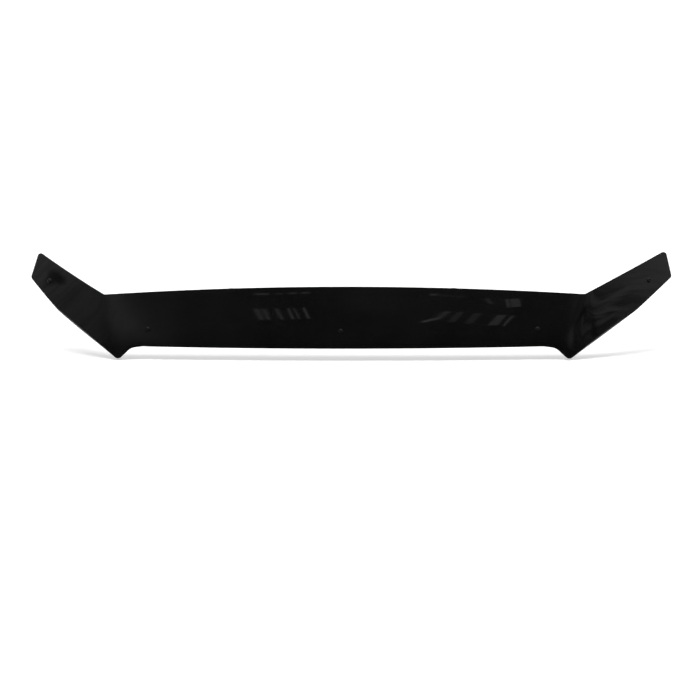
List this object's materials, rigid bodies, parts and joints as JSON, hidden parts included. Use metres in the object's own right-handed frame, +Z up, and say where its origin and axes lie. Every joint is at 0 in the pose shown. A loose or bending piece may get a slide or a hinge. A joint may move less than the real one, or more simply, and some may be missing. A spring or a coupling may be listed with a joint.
{
  "type": "hood bug deflector",
  "caption": "Glossy near-black acrylic hood bug deflector with swept-back wings, screw fixings, rubber spacers and rest pads.",
  "frame": {"origin": "seat of the centre fixing on the hood: the middle of the centre spacer's back face, where the screw's free thread starts", "axes": "+X to the right seen from the front, -Y to the front of the vehicle, +Z up"},
  "size_m": [1.5322, 0.1917, 0.2307],
  "materials": {
    "smoke_acrylic": "glossy",
    "black_screw": "satin",
    "rubber": "matte"
  },
  "bodies": {
    "root": {"shield": "smoke_acrylic", "screw_centre": "black_screw", "screw_left": "black_screw", "screw_right": "black_screw", "screw_wing_left": "black_screw", "screw_wing_right": "black_screw", "spacer_centre": "rubber", "spacer_left": "rubber", "spacer_right": "rubber", "spacer_wing_left": "rubber", "spacer_wing_right": "rubber", "bumper_left": "rubber", "bumper_right": "rubber"}
  },
  "joints": []
}
